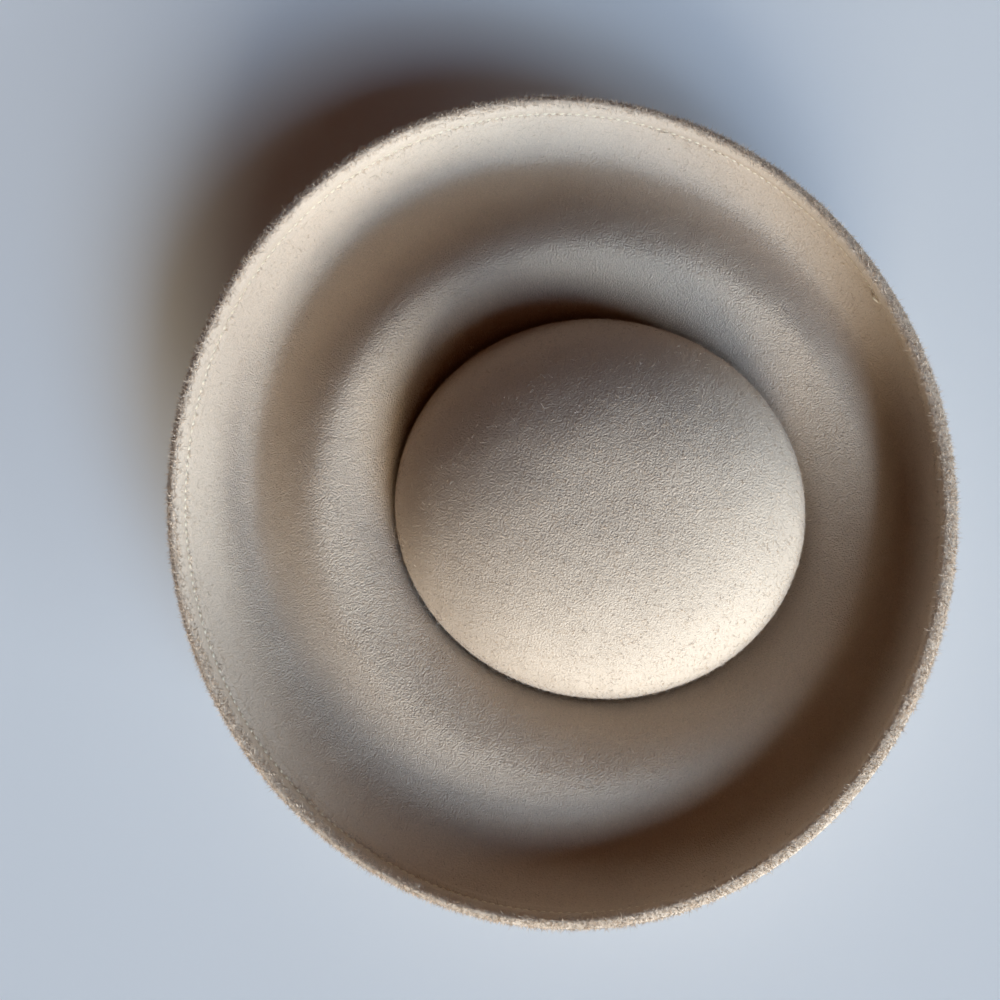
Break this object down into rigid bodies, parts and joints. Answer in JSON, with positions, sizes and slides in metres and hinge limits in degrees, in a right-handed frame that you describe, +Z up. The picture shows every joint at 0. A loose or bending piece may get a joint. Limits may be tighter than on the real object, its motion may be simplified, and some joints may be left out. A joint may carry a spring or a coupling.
{
  "type": "halo hat",
  "caption": "Felt halo hat with a smooth domed crown, open below for the head, and a wide brim that swells round the crown and turns up to a stitched, turned hem.",
  "frame": {"origin": "on the surface that the hat stands on, under the middle of the brim", "axes": "+Z up through the crown, -Y towards the front of the hat, where the brim is widest"},
  "size_m": [0.3837, 0.3595, 0.115],
  "materials": {
    "crown_felt": "cream wool felt, matt with a short nap",
    "brim_felt": "cream wool felt, matt with a short nap"
  },
  "bodies": {
    "root": {"crown": "crown_felt", "brim": "brim_felt"}
  },
  "joints": []
}
